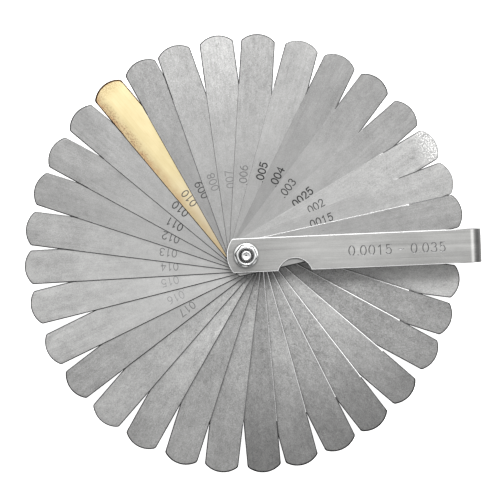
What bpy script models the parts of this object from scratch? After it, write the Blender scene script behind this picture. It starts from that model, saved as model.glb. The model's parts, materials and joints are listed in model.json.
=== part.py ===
"""Leaf feeler gauge: a sheet-steel holder folded into a U, a pivot bolt with a hex flange nut
through its open end, and 32 measuring leaves threaded on the bolt, fanned out all round it.

Units are metres. Origin: centre of the bolt head's flat outer face, on the pivot axis.
+Z runs up the pivot axis towards the nut. +X runs along the holder to its closed end.
"""

import math

import bmesh
import bpy
from mathutils import Matrix

MM = 0.001
INCH = 0.0254

# leaves, top of the stack first: name, thickness in thousandths of an inch, metal,
# and where the leaf stands in the fan, in degrees from the holder, anticlockwise from above
LEAVES = [
    ("blade_035", 35.0, "steel", 10.2),
    ("blade_0015", 1.5, "steel", 18.7),
    ("blade_002", 2.0, "steel", 28.7),
    ("blade_0025", 2.5, "steel", 39.1),
    ("blade_003", 3.0, "steel", 50.6),
    ("blade_004", 4.0, "steel", 61.6),
    ("blade_005", 5.0, "steel", 72.5),
    ("blade_006", 6.0, "steel", 84.3),
    ("blade_007", 7.0, "steel", 95.5),
    ("blade_008", 8.0, "steel", 107.2),
    ("blade_009", 9.0, "steel", 117.0),
    ("blade_010_brass", 10.0, "brass", 127.5),
    ("blade_010_steel", 10.0, "steel", 137.8),
    ("blade_011", 11.0, "steel", 148.9),
    ("blade_012", 12.0, "steel", 159.5),
    ("blade_013", 13.0, "steel", 170.4),
    ("blade_014", 14.0, "steel", 180.8),
    ("blade_015", 15.0, "steel", 191.7),
    ("blade_016", 16.0, "steel", 203.7),
    ("blade_017", 17.0, "steel", 215.0),
    ("blade_018", 18.0, "steel", 226.6),
    ("blade_019", 19.0, "steel", 238.1),
    ("blade_020", 20.0, "steel", 249.9),
    ("blade_021", 21.0, "steel", 261.1),
    ("blade_022", 22.0, "steel", 272.7),
    ("blade_023", 23.0, "steel", 283.1),
    ("blade_024", 24.0, "steel", 294.4),
    ("blade_025", 25.0, "steel", 305.4),
    ("blade_026", 26.0, "steel", 317.0),
    ("blade_028", 28.0, "steel", 329.0),
    ("blade_030", 30.0, "steel", 339.7),
    ("blade_032", 32.0, "steel", 350.2),
]
# the top leaf sits off the pivot axis, inside its hole's clearance: (along, across) the leaf
LEAF_SHIFT = {"blade_035": (-0.10 * MM, -1.00 * MM)}

LEAF_WIDTH = 0.5 * INCH
LEAF_LENGTH = 3.5 * INCH
LEAF_HEEL = 0.25 * INCH  # pivot to heel
LEAF_REACH = LEAF_LENGTH - LEAF_HEEL  # pivot to tip
LEAF_END_R = 9.0 * MM  # the shallow arc across both ends
LEAF_TIP_CORNER_R = 1.3 * MM
LEAF_HEEL_CORNER_R = 0.4 * MM
LEAF_HOLE_R = 3.1 * MM  # the leaves are loose on the bolt
LEAF_GAP = 0.02 * MM  # film of air between neighbours

HEX_AF = 7.0 * MM  # across the flats of bolt head and nut
HEX_FACE_SHARE = 0.95  # radius left flat by the corner chamfer, as a share of the flats' radius
HEX_CHAMFER = 30.0  # degrees

BOLT_R = 2.0 * MM  # M4
BOLT_HEAD_H = 2.8 * MM
BOLT_HEAD_TURN = 8.0  # degrees from +X to a corner of the head
BOLT_END_CHAMFER = 0.45 * MM
BOLT_DIMPLE_R = 1.15 * MM
BOLT_DIMPLE_DEPTH = 0.5 * MM
BOLT_PAST_NUT = 0.35 * MM

SHEET = 1.0 * MM
HOLDER_WIDTH = LEAF_WIDTH
HOLDER_HEEL = 7.1 * MM  # pivot to the open end
HOLDER_END = 88.5 * MM  # pivot to the closed end's outer face
HOLDER_HEEL_R = 10.0 * MM
HOLDER_BEND_R = 4.2 * MM  # outer radius of the two folds
HOLDER_HOLE_R = 2.15 * MM
NOTCH_R = 6.5 * MM  # thumb notch in both side plates
NOTCH_X = 18.0 * MM
NOTCH_Y = -8.2 * MM

NUT_H = 4.0 * MM
NUT_FLANGE_R = 4.55 * MM
NUT_FLANGE_TOP_R = HEX_AF / 2 * 0.97  # just inside the flats
NUT_FLANGE_RIM = 0.5 * MM
NUT_FLANGE_H = 1.35 * MM
NUT_BORE_R = 2.1 * MM
NUT_COUNTERSINK_R = 2.85 * MM
NUT_TURN = -9.5  # degrees from +X to a corner of the nut

# how far helpers run past the faces they cut or join
OVERLAP = 0.5 * MM
CUT_PAST = 1.0 * MM
HOLDER_CUT_PAST = 4.0 * MM
TRIM_PAST = 5.0 * MM
TRIM_DEPTH = 40.0 * MM

# heights, from the bolt head up
STACK = sum(leaf[1] for leaf in LEAVES) * INCH / 1000 + LEAF_GAP * (len(LEAVES) + 1)
Z_BACK = BOLT_HEAD_H + LEAF_GAP  # outer face of the back (lower) plate
Z_BACK_IN = Z_BACK + SHEET
Z_FRONT_IN = Z_BACK_IN + STACK
Z_FRONT = Z_FRONT_IN + SHEET  # outer face of the front (upper) plate
Z_NUT = Z_FRONT + LEAF_GAP
Z_NUT_TOP = Z_NUT + NUT_H
Z_BOLT_END = Z_NUT_TOP + BOLT_PAST_NUT

SMOOTH_ANGLE = math.radians(30)  # edges that turn more than this stay sharp


# ---- scene and materials ----

def clear_scene():
    for obj in list(bpy.data.objects):
        bpy.data.objects.remove(obj, do_unlink=True)
    for collection in list(bpy.data.collections):
        bpy.data.collections.remove(collection)


def new_collection(name):
    collection = bpy.data.collections.new(name)
    bpy.context.scene.collection.children.link(collection)
    return collection


def make_metal(name, colour, roughness):
    material = bpy.data.materials.new(name)
    material.use_nodes = True
    shader = next(n for n in material.node_tree.nodes if n.type == "BSDF_PRINCIPLED")
    shader.inputs["Base Color"].default_value = (*colour, 1.0)
    shader.inputs["Roughness"].default_value = roughness
    shader.inputs["Metallic"].default_value = 1.0
    return material


# ---- outlines: lists of (x, y) ----

def arc(centre_x, centre_y, radius, start, end, steps):
    """Points on an arc, angles in radians, both ends included."""
    angles = [start + (end - start) * i / steps for i in range(steps + 1)]
    return [
        (centre_x + radius * math.cos(angle), centre_y + radius * math.sin(angle))
        for angle in angles
    ]


def rounded_end(reach, corner_r, arc_steps, corner_steps):
    """The +X end of a leaf, from its -Y side to its +Y side: a shallow arc across the end,
    with a small fillet at each corner."""
    end_x = reach - LEAF_END_R
    corner_y = LEAF_WIDTH / 2 - corner_r
    corner_x = end_x + math.sqrt((LEAF_END_R - corner_r) ** 2 - corner_y**2)
    lean = math.atan2(corner_y, corner_x - end_x)  # where arc and fillet meet
    lower = arc(corner_x, -corner_y, corner_r, -math.pi / 2, -lean, corner_steps)
    across = arc(end_x, 0.0, LEAF_END_R, -lean, lean, arc_steps)
    upper = arc(corner_x, corner_y, corner_r, lean, math.pi / 2, corner_steps)
    return lower[:-1] + across + upper[1:]


def leaf_outlines(along, across):
    """The leaf's edge and its hole, both shifted off the pivot."""
    tip = rounded_end(LEAF_REACH, LEAF_TIP_CORNER_R, arc_steps=10, corner_steps=3)
    heel = rounded_end(LEAF_HEEL, LEAF_HEEL_CORNER_R, arc_steps=8, corner_steps=2)
    edge = [(x + along, y + across) for x, y in tip + [(-x, -y) for x, y in heel]]
    hole = arc(along, across, LEAF_HOLE_R, 0.0, 2 * math.pi, 24)[:-1]
    return [edge, hole]


# ---- solids ----

def add_object(name, data, collection, material):
    obj = bpy.data.objects.new(name, data)
    data.materials.append(material)
    collection.objects.link(obj)
    return obj


def flat_curve(name, outlines, thickness, collection, material):
    """A flat plate from closed outlines, centred on its own XY plane."""
    curve = bpy.data.curves.new(name, "CURVE")
    curve.dimensions = "2D"
    curve.fill_mode = "BOTH"
    curve.extrude = thickness / 2
    for outline in outlines:
        spline = curve.splines.new("POLY")
        spline.points.add(len(outline) - 1)
        for point, (x, y) in zip(spline.points, outline):
            point.co = (x, y, 0.0, 1.0)
        spline.use_cyclic_u = True
    return add_object(name, curve, collection, material)


def as_mesh(obj, collection):
    """A curve made into a welded mesh object that stands where the curve stood."""
    bpy.context.view_layer.update()
    graph = bpy.context.evaluated_depsgraph_get()
    name = obj.name
    matrix = obj.matrix_world.copy()
    mesh = bpy.data.meshes.new_from_object(obj.evaluated_get(graph))
    bm = bmesh.new()
    bm.from_mesh(mesh)
    bmesh.ops.remove_doubles(bm, verts=bm.verts, dist=1e-7)
    bmesh.ops.recalc_face_normals(bm, faces=bm.faces)
    bm.to_mesh(mesh)
    bm.free()
    bpy.data.objects.remove(obj, do_unlink=True)
    made = bpy.data.objects.new(name, mesh)
    made.matrix_world = matrix
    collection.objects.link(made)
    return made


def turned(name, profile, steps, collection, material):
    """A solid of revolution about Z. The profile is (radius, height) pairs from the top of the
    axis, down the outside, to the bottom of the axis."""
    mesh = bpy.data.meshes.new(name)
    edges = [(i, i + 1) for i in range(len(profile) - 1)]
    mesh.from_pydata([(radius, 0.0, z) for radius, z in profile], edges, [])
    obj = add_object(name, mesh, collection, material)
    screw = obj.modifiers.new("turn", "SCREW")
    screw.axis = "Z"
    screw.angle = 2 * math.pi
    screw.steps = steps
    screw.render_steps = steps
    screw.use_merge_vertices = True
    screw.merge_threshold = 0.000001
    return obj


def prism(name, sides, corner_r, bottom, top, turn, collection, material):
    """A regular prism on the Z axis, with a corner at the given turn in degrees."""
    bm = bmesh.new()
    bmesh.ops.create_cone(
        bm, cap_ends=True, segments=sides, radius1=corner_r, radius2=corner_r, depth=top - bottom
    )
    first = bm.verts[:][0].co
    angle = math.radians(turn) - math.atan2(first.y, first.x)
    bmesh.ops.rotate(bm, verts=bm.verts, matrix=Matrix.Rotation(angle, 3, "Z"))
    bmesh.ops.translate(bm, verts=bm.verts, vec=(0.0, 0.0, (bottom + top) / 2))
    mesh = bpy.data.meshes.new(name)
    bm.to_mesh(mesh)
    bm.free()
    return add_object(name, mesh, collection, material)


def boolean(obj, helper, operation):
    """Combine obj with a helper solid, which is then hidden from renders."""
    modifier = obj.modifiers.new(operation.lower() + "_" + helper.name, "BOOLEAN")
    modifier.operation = operation
    modifier.solver = "EXACT"
    modifier.object = helper
    helper.hide_render = True
    helper.display_type = "WIRE"


def shade(obj):
    obj.data.shade_smooth()
    obj.data.set_sharp_from_angle(angle=SMOOTH_ANGLE)


# ---- leaves ----

def build_leaves(collection, metals):
    """Each leaf's object origin is on the pivot axis, at the middle of its own thickness."""
    z = Z_FRONT_IN
    for name, thousandths, metal, angle in LEAVES:
        thickness = thousandths * INCH / 1000
        z -= LEAF_GAP
        outlines = leaf_outlines(*LEAF_SHIFT.get(name, (0.0, 0.0)))
        leaf = flat_curve(name, outlines, thickness, collection, metals[metal])
        leaf.location = (0.0, 0.0, z - thickness / 2)
        leaf.rotation_euler = (0.0, 0.0, math.radians(angle))
        z -= thickness


# ---- holder ----

def folded_strip(collection, material):
    """Back plate, closed end and front plate, drawn as (x, z) and stood upright."""
    open_x = -(HOLDER_HEEL + OVERLAP)
    inner_r = HOLDER_BEND_R - SHEET
    bend_x = HOLDER_END - HOLDER_BEND_R
    low = Z_BACK + HOLDER_BEND_R
    high = Z_FRONT - HOLDER_BEND_R
    quarter = math.pi / 2
    profile = (
        [(open_x, Z_BACK)]
        + arc(bend_x, low, HOLDER_BEND_R, -quarter, 0.0, 8)
        + arc(bend_x, high, HOLDER_BEND_R, 0.0, quarter, 8)
        + [(open_x, Z_FRONT), (open_x, Z_FRONT_IN)]
        + arc(bend_x, high, inner_r, quarter, 0.0, 8)
        + arc(bend_x, low, inner_r, 0.0, -quarter, 8)
        + [(open_x, Z_BACK_IN)]
    )
    strip = flat_curve("holder", [profile], HOLDER_WIDTH, collection, material)
    strip.rotation_euler = (quarter, 0.0, 0.0)
    return as_mesh(strip, collection)


def open_end_trim(helpers, material):
    """A block covering the whole holder, with the shallow arc of the open end as its -X side."""
    far_x = HOLDER_END + TRIM_PAST
    half_width = HOLDER_WIDTH / 2 + CUT_PAST
    lean = math.asin(half_width / HOLDER_HEEL_R)
    outline = [(far_x, -half_width), (far_x, half_width)] + arc(
        HOLDER_HEEL_R - HOLDER_HEEL, 0.0, HOLDER_HEEL_R, math.pi - lean, math.pi + lean, 16
    )
    trim = flat_curve("cut_open_end", [outline], TRIM_DEPTH, helpers, material)
    trim.location = (0.0, 0.0, (Z_BACK + Z_FRONT) / 2)
    return as_mesh(trim, helpers)


def build_holder(collection, helpers, material):
    holder = folded_strip(collection, material)
    boolean(holder, open_end_trim(helpers, material), "INTERSECT")

    # round cuts through both plates: name, sides, corner radius, x, y
    hole_corner_r = HOLDER_HOLE_R / math.cos(math.pi / 24)  # the hole's flats touch its radius
    for name, sides, corner_r, x, y in (
        ("cut_notch", 48, NOTCH_R, NOTCH_X, NOTCH_Y),
        ("cut_holder_hole", 24, hole_corner_r, 0.0, 0.0),
    ):
        bottom = Z_BACK - HOLDER_CUT_PAST
        top = Z_FRONT + HOLDER_CUT_PAST
        cutter = prism(name, sides, corner_r, bottom, top, 0.0, helpers, material)
        cutter.location = (x, y, 0.0)
        boolean(holder, cutter, "DIFFERENCE")
    return holder


# ---- bolt and nut ----

def chamfered_hex(name, bottom, top, chamfer_low, turn, collection, helpers, material):
    """A hexagon prism whose corners are turned off at one end."""
    corner_r = HEX_AF / math.sqrt(3)
    hexagon = prism(name, 6, corner_r, bottom, top, turn, collection, material)
    face_r = HEX_AF / 2 * HEX_FACE_SHARE
    outer_r = corner_r + CUT_PAST
    fall = (outer_r - face_r) * math.tan(math.radians(HEX_CHAMFER))
    if chamfer_low:
        profile = [
            (0.0, top + CUT_PAST),
            (outer_r, top + CUT_PAST),
            (outer_r, bottom + fall),
            (face_r, bottom),
            (0.0, bottom),
        ]
    else:
        profile = [
            (0.0, top),
            (face_r, top),
            (outer_r, top - fall),
            (outer_r, bottom - CUT_PAST),
            (0.0, bottom - CUT_PAST),
        ]
    blank = turned("cut_" + name + "_corners", profile, 36, helpers, material)
    boolean(hexagon, blank, "INTERSECT")
    return hexagon


def build_bolt(collection, helpers, material):
    """Hexagon head and plain shank, with a dimple in the shank's end."""
    bolt = chamfered_hex(
        "pivot_bolt", 0.0, BOLT_HEAD_H, True, BOLT_HEAD_TURN, collection, helpers, material
    )
    shank_profile = [
        (0.0, Z_BOLT_END - BOLT_DIMPLE_DEPTH),
        (BOLT_DIMPLE_R * 0.25, Z_BOLT_END - BOLT_DIMPLE_DEPTH),
        (BOLT_DIMPLE_R * 0.75, Z_BOLT_END - BOLT_DIMPLE_DEPTH * 0.55),
        (BOLT_DIMPLE_R, Z_BOLT_END),
        (BOLT_R - BOLT_END_CHAMFER, Z_BOLT_END),
        (BOLT_R, Z_BOLT_END - BOLT_END_CHAMFER),
        (BOLT_R, BOLT_HEAD_H - OVERLAP),
        (0.0, BOLT_HEAD_H - OVERLAP),
    ]
    boolean(bolt, turned("join_bolt_shank", shank_profile, 32, helpers, material), "UNION")
    return bolt


def build_nut(collection, helpers, material):
    """Hexagon on a sloping round flange, bored through and countersunk at the top."""
    nut = chamfered_hex(
        "flange_nut", Z_NUT + NUT_FLANGE_RIM, Z_NUT_TOP, False, NUT_TURN,
        collection, helpers, material,
    )
    flange_profile = [
        (0.0, Z_NUT + NUT_FLANGE_H),
        (NUT_FLANGE_TOP_R, Z_NUT + NUT_FLANGE_H),
        (NUT_FLANGE_R, Z_NUT + NUT_FLANGE_RIM),
        (NUT_FLANGE_R, Z_NUT),
        (0.0, Z_NUT),
    ]
    bore_profile = [
        (0.0, Z_NUT_TOP + CUT_PAST),
        (NUT_COUNTERSINK_R + CUT_PAST, Z_NUT_TOP + CUT_PAST),
        (NUT_BORE_R, Z_NUT_TOP - (NUT_COUNTERSINK_R - NUT_BORE_R)),
        (NUT_BORE_R, Z_NUT - CUT_PAST),
        (0.0, Z_NUT - CUT_PAST),
    ]
    boolean(nut, turned("join_nut_flange", flange_profile, 36, helpers, material), "UNION")
    boolean(nut, turned("cut_nut_bore", bore_profile, 32, helpers, material), "DIFFERENCE")
    return nut


def main():
    clear_scene()
    gauge = new_collection("feeler_gauge")
    helpers = new_collection("cutters")
    leaf_metals = {
        "steel": make_metal("leaf_steel", colour=(0.46, 0.46, 0.46), roughness=0.38),
        "brass": make_metal("leaf_brass", colour=(0.83, 0.62, 0.28), roughness=0.34),
    }
    holder_steel = make_metal("holder_steel", colour=(0.50, 0.50, 0.50), roughness=0.34)
    zinc = make_metal("zinc_plate", colour=(0.72, 0.74, 0.76), roughness=0.18)

    build_leaves(gauge, leaf_metals)
    shade(build_holder(gauge, helpers, holder_steel))
    shade(build_bolt(gauge, helpers, zinc))
    shade(build_nut(gauge, helpers, zinc))


main()
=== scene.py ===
# A feeler gauge: 32 steel and brass leaves fanned about a bolt, in a folded sheet-steel holder.
# The pivot axis is Z through the origin. The holder lies along +X and is folded at its +X end.
# Each leaf is drawn along +X, then turned anticlockwise about the pivot to its rest angle. The
# bolt head is at the bottom and the flange nut on top. Lengths are in metres.
import json
import math

import bmesh
import bpy
from mathutils import Matrix, Vector


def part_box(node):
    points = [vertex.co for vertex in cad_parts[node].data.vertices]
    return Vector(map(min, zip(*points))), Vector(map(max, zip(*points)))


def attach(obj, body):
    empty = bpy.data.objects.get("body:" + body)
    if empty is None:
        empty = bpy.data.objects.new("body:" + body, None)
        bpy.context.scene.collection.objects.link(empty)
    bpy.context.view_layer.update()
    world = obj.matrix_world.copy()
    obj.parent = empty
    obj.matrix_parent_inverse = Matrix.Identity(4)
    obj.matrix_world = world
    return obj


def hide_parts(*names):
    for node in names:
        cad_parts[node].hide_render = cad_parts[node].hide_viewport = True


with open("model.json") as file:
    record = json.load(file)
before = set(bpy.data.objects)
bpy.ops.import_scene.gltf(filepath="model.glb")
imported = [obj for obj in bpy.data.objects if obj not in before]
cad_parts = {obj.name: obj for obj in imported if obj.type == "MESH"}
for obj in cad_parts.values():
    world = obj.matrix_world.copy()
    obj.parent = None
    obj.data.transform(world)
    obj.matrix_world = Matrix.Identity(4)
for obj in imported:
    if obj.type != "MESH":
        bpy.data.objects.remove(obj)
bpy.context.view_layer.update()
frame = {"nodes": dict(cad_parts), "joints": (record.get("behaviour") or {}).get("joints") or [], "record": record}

MM = 0.001
scene = bpy.context.scene
looks = bpy.data.collections.new("looks")
scene.collection.children.link(looks)
cutters = bpy.data.collections.new("looks_cutters")
scene.collection.children.link(cutters)

BODY_OF = {
    node: body
    for body, nodes in frame["record"]["behaviour"]["bodies"].items()
    for node in nodes
}
# body: its rest angle about the pivot, in degrees
REST_TURN = {
    joint["child"]: -joint["range_deg"][0]
    for joint in frame["joints"]
    if joint["child"].startswith("leaf_")
}
HOLDER_LO, HOLDER_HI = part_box("holder")


# ------------------------------------------------------------------ shader building


class Nodes:
    """A small builder for shader trees. Values may be numbers, colours or output sockets."""

    def __init__(self, tree):
        self.tree = tree
        tree.nodes.clear()

    def new(self, kind, **settings):
        node = self.tree.nodes.new(kind)
        for key, value in settings.items():
            if hasattr(node, key) and key not in node.inputs:
                setattr(node, key, value)
            else:
                self.set(node, key, value)
        return node

    def set(self, node, key, value):
        socket = node.inputs[key]
        if isinstance(value, bpy.types.NodeSocket):
            self.tree.links.new(value, socket)
        elif isinstance(value, (tuple, list)) and len(value) == 3 and socket.type == "RGBA":
            socket.default_value = (*value, 1.0)
        else:
            socket.default_value = value

    def output(self, shader, kind="ShaderNodeOutputMaterial"):
        self.set(self.new(kind), 0, shader)

    # arithmetic

    def math(self, operation, a, b, clamp=False):
        node = self.new("ShaderNodeMath", operation=operation, use_clamp=clamp)
        self.set(node, 0, a)
        self.set(node, 1, b)
        return node.outputs[0]

    def mul(self, a, b, clamp=False):
        return self.math("MULTIPLY", a, b, clamp)

    def sub(self, a, b):
        return self.math("SUBTRACT", a, b)

    def add(self, *values):
        total = values[0]
        for value in values[1:]:
            total = self.math("ADD", total, value)
        return total

    def dim(self, level, shade):
        """level * (1 - shade)"""
        return self.mul(level, self.sub(1.0, shade))

    def centred(self, value, gain):
        """(value - 0.5) * gain"""
        return self.mul(self.sub(value, 0.5), gain)

    def vary(self, *layers, base=None):
        """The base, if any, plus each (noise, gain) layer centred on zero."""
        parts = [] if base is None else [base]
        parts += [self.centred(noise, gain) for noise, gain in layers]
        return self.add(*parts)

    def ramp(self, value, span, to=(0.0, 1.0), smooth=True):
        """Maps the span of the value, which may run downwards, to another one."""
        node = self.new(
            "ShaderNodeMapRange", interpolation_type="SMOOTHSTEP" if smooth else "LINEAR"
        )
        self.set(node, "Value", value)
        self.set(node, "From Min", span[0])
        self.set(node, "From Max", span[1])
        self.set(node, "To Min", to[0])
        self.set(node, "To Max", to[1])
        return node.outputs[0]

    # sources

    def noise(self, scale, shift=(0.0, 0.0, 0.0), turn=0.0, detail=2.0, rough=0.5, swirl=0.0):
        """Noise in object space; scale is in cells per metre along each axis."""
        source = self.new("ShaderNodeTexCoord")
        stretch = self.new("ShaderNodeMapping", Scale=scale, Location=shift)
        # turned first, then stretched, so that streaks run along the turned axis
        spin = self.new(
            "ShaderNodeMapping", Rotation=(0.0, 0.0, turn), Vector=source.outputs["Object"]
        )
        self.set(stretch, "Vector", spin.outputs[0])
        node = self.new(
            "ShaderNodeTexNoise", Vector=stretch.outputs[0], Scale=1.0,
            Detail=detail, Roughness=rough, Distortion=swirl,
        )
        return node.outputs[0]

    def hairlines(self, *sets):
        """Fine scratches with soft sides, summed over sets of (seed, turn, threshold)."""
        lines = []
        for seed, turn, threshold in sets:
            noise = self.noise(
                scale=(90.0, 5200.0, 0.0), shift=(seed * 3.1, seed * 7.7, seed),
                turn=turn, detail=1.0,
            )
            lines.append(self.ramp(noise, span=(threshold, threshold + 0.05)))
        return self.add(*lines)

    def split(self, vector):
        return tuple(self.new("ShaderNodeSeparateXYZ", Vector=vector).outputs)

    def position(self):
        """x, y and z in object space."""
        return self.split(self.new("ShaderNodeTexCoord").outputs["Object"])

    def normal(self):
        """x, y and z of the surface normal."""
        return self.split(self.new("ShaderNodeNewGeometry").outputs["Normal"])

    def exposure(self, distance, **settings):
        """1 in the open, falling to 0 deep in a corner or close beside a taller part."""
        node = self.new(
            "ShaderNodeAmbientOcclusion", samples=8, Distance=distance, **settings
        )
        return node.outputs["AO"]

    # colours and surface

    def mix(self, factor, first, second):
        node = self.new("ShaderNodeMix", data_type="RGBA")
        self.set(node, 0, factor)
        self.set(node, 6, first)
        self.set(node, 7, second)
        return node.outputs[2]

    def grey(self, level, tint=None):
        node = self.new("ShaderNodeCombineColor")
        for i in range(3):
            self.set(node, i, self.mul(level, tint[i]) if tint else level)
        return node.outputs[0]

    def scaled(self, colour, level):
        node = self.new("ShaderNodeVectorMath", operation="SCALE")
        self.set(node, 0, colour)
        self.set(node, "Scale", level)
        return node.outputs[0]

    def metal(self, colour, roughness, metallic, height=None, bump=0.15, depth=2e-5):
        """Surface and output. Bump is the strength of the relief and depth its distance."""
        surface = self.new("ShaderNodeBsdfPrincipled", Roughness=roughness, Metallic=metallic)
        self.set(surface, "Base Color", colour)
        if height is not None:
            relief = self.new("ShaderNodeBump", Strength=bump, Distance=depth, Height=height)
            self.set(surface, "Normal", relief.outputs[0])
        self.output(surface.outputs[0])


def material(name):
    mat = bpy.data.materials.new(name)
    mat.use_nodes = True
    return mat, Nodes(mat.node_tree)


# ------------------------------------------------------------------ materials


def leaf_steel(name, seed, tone, tip_tone, mottle, scratch, sparkle, painted_shade):
    """Rolled spring steel. Tone is the face's tone near the pivot and tip_tone at the tip; the change
    between them partly paints the light and shade along the leaf. Mottle and scratch set how worn
    the face looks, sparkle paints bright glints at the tip, and the last argument sets how dark an
    upper face is painted, as shade, where its neighbours shelter it."""
    mat, net = material(name)
    cloud = net.noise(
        scale=(70.0, 120.0, 0.0), shift=(seed, seed * 2.0, 0.0), detail=3.0, rough=0.55
    )
    patch = net.noise(
        scale=(300.0, 420.0, 0.0), shift=(seed * 1.7, seed, 0.0), detail=3.0, rough=0.6
    )
    worm = net.noise(
        scale=(1050.0, 1350.0, 0.0), shift=(seed * 0.9, seed * 2.3, 0.0), rough=0.6, swirl=1.6
    )
    grain = net.noise(
        scale=(2400.0, 3300.0, 0.0), shift=(seed * 0.3, seed * 5.0, 0.0), rough=0.6
    )
    streak = net.noise(scale=(24.0, 1300.0, 0.0), shift=(seed, seed * 4.0, 0.0), rough=0.6)
    x, _, _ = net.position()
    uneven = net.vary(
        (cloud, 0.42 + 0.20 * mottle),
        (patch, 0.24 + 0.60 * mottle),
        (worm, 0.26 + 1.90 * mottle),
        (grain, 0.50 + 0.90 * mottle),
        (streak, 0.26),
    )
    # the less mottled leaves are stained towards the tip, the others worn near the holder
    if mottle < 0.3:
        busy = net.ramp(x, span=(0.030, 0.078), to=(0.62, 1.40))
    else:
        busy = net.ramp(x, span=(0.030, 0.060), to=(1.15, 0.92))
    level = net.add(1.0, net.mul(uneven, busy))
    height = net.vary((grain, 0.5), (streak, 0.6), (worm, 0.5 + mottle))
    if scratch:
        marks = net.hairlines((seed, 0.9, 0.63), (seed + 11, -0.6, 0.64), (seed + 23, 2.0, 0.65))
        level = net.add(level, net.mul(marks, 0.20 * scratch))
        height = net.sub(height, net.mul(marks, 0.5))
    # tone from pivot to tip, partly painted light and shade along the leaf
    along = net.ramp(x, span=(0.034, 0.082))
    level = net.mul(level, net.add(tone, net.mul(along, tip_tone - tone)))
    # painted glints: bright spots added to the colour near the tip
    if sparkle:
        near_tip = net.ramp(x, span=(0.073, 0.0815))
        dots = net.noise(scale=(2100.0, 2100.0, 0.0), shift=(seed, 1.0, 0.0), detail=1.0)
        spots = net.ramp(dots, span=(0.50, 0.62))
        level = net.add(level, net.mul(net.mul(near_tip, spots), sparkle))
    # painted shade: an upper face darker where taller neighbours and the holder stand close above it
    if painted_shade:
        _, _, normal_z = net.normal()
        upper = net.ramp(normal_z, span=(0.2, 0.6), to=(0.0, painted_shade))
        shelter = net.ramp(net.exposure(distance=0.013), span=(0.94, 0.38), smooth=False)
        level = net.dim(level, net.mul(shelter, upper))
    net.metal(
        colour=net.scaled((1.0, 0.998, 0.985), level),
        roughness=net.vary((patch, 0.10), (cloud, 0.06), base=0.44),
        metallic=0.62, height=height, bump=0.16, depth=3e-5,
    )
    return mat


def edge_steel(name, tone, rough, metallic=1.0, tint=(1.0, 1.0, 1.0)):
    """Worked edge of a part, with fine tearing across it. Its set tone is painted highlight or painted shade,
    chosen for where it is used.
    """
    mat, net = material(name)
    fine = net.noise(scale=(6000.0, 6000.0, 2500.0))
    level = net.vary((fine, tone * 0.35), base=tone)
    net.metal(colour=net.grey(level, tint), roughness=rough, metallic=metallic, height=fine)
    return mat


def brass():
    mat, net = material("brass_leaf")
    cloud = net.noise(scale=(90.0, 160.0, 0.0), shift=(4.0, 9.0, 0.0), detail=3.0, rough=0.6)
    streak = net.noise(scale=(40.0, 1500.0, 0.0), shift=(2.0, 3.0, 0.0), rough=0.6)
    grain = net.noise(scale=(1800.0, 2500.0, 0.0))
    x, y, _ = net.position()
    # tarnish creeps in from the +Y edge, in blotches, and less so near the pivot
    side = net.ramp(y, span=(0.0022, 0.0064))
    blotch = net.noise(scale=(260.0, 420.0, 0.0), shift=(1.0, 5.0, 0.0), detail=4.0, rough=0.65)
    reach = net.mul(side, net.ramp(blotch, span=(0.30, 0.66)), clamp=True)
    low = net.ramp(x, span=(0.045, 0.018))
    tarnish = net.mul(reach, net.sub(0.90, net.mul(low, 0.55)))
    # two shades in clouds, with darker streaks
    clean = net.mix(net.ramp(cloud, span=(0.3, 0.7)), (0.645, 0.54, 0.30), (0.705, 0.605, 0.36))
    streaked = net.mul(net.ramp(streak, span=(0.4, 0.75)), 0.5)
    clean = net.mix(streaked, clean, (0.62, 0.50, 0.27))
    # rubbed paler where the other leaves have slid over it
    clean = net.mix(net.mul(low, 0.80), clean, (0.60, 0.53, 0.41))
    # a duller film towards the +Y edge
    film = net.ramp(y, span=(0.0012, 0.0062), to=(0.0, 0.85))
    clean = net.mix(film, clean, (0.47, 0.385, 0.225))
    colour = net.mix(tarnish, clean, (0.36, 0.22, 0.11))
    # fine dark specks of corrosion in the outer half of that edge
    dots = net.noise(scale=(1500.0, 1900.0, 0.0), shift=(6.0, 2.0, 0.0), rough=0.6)
    speck = net.ramp(dots, span=(0.49, 0.60))
    band = net.mul(net.ramp(y, span=(0.0015, 0.0060)), net.ramp(x, span=(0.044, 0.056)))
    speck = net.mul(net.mul(speck, band), net.ramp(blotch, span=(0.32, 0.56)))
    colour = net.mix(net.mul(speck, 0.90), colour, (0.16, 0.09, 0.05))
    # the tip is scuffed, and a painted highlight runs along the -Y edge
    scuff = net.mul(net.ramp(x, span=(0.0765, 0.0822)), net.ramp(grain, span=(0.42, 0.60)))
    colour = net.mix(net.mul(scuff, 0.75), colour, (0.40, 0.25, 0.12))
    # painted highlight along the -Y edge
    bright_band = net.mul(net.ramp(y, span=(-0.0044, -0.0057)), net.ramp(x, span=(0.070, 0.058)))
    colour = net.mix(net.mul(bright_band, 0.65), colour, (0.93, 0.88, 0.74))
    net.metal(
        colour=colour,
        roughness=net.add(0.30, net.centred(cloud, 0.1), net.mul(tarnish, 0.12)),
        metallic=0.7,
        height=net.vary((grain, 0.5), (streak, 0.6)),
        bump=0.12, depth=3e-5,
    )
    return mat


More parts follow.
